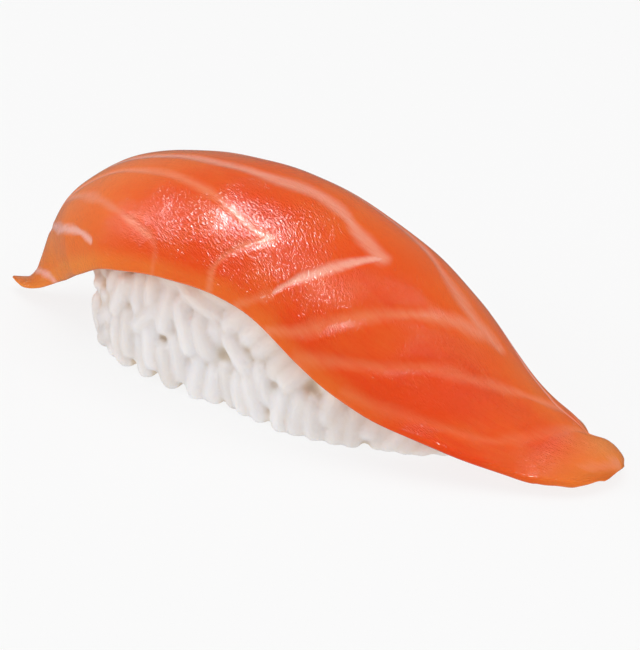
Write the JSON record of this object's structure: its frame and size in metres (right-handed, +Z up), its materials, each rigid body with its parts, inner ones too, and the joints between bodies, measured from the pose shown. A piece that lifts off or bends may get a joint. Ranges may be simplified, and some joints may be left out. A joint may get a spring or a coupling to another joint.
{
  "type": "salmon nigiri sushi",
  "caption": "Salmon nigiri: a long slice of raw salmon draped over a hand-pressed block of cooked rice, lying flat on its rice.",
  "frame": {"origin": "on the surface the nigiri lies on, under the middle of its bounding box", "axes": "+X along the nigiri towards the broad tail of the slice, +Y across towards the far long side, +Z up"},
  "size_m": [0.0888, 0.0278, 0.0255],
  "materials": {
    "rice": "moist cooked white rice, slightly translucent",
    "salmon": "wet raw salmon, deep orange with paler fat lines"
  },
  "bodies": {
    "root": {"rice": "rice", "salmon": "salmon"}
  },
  "joints": []
}
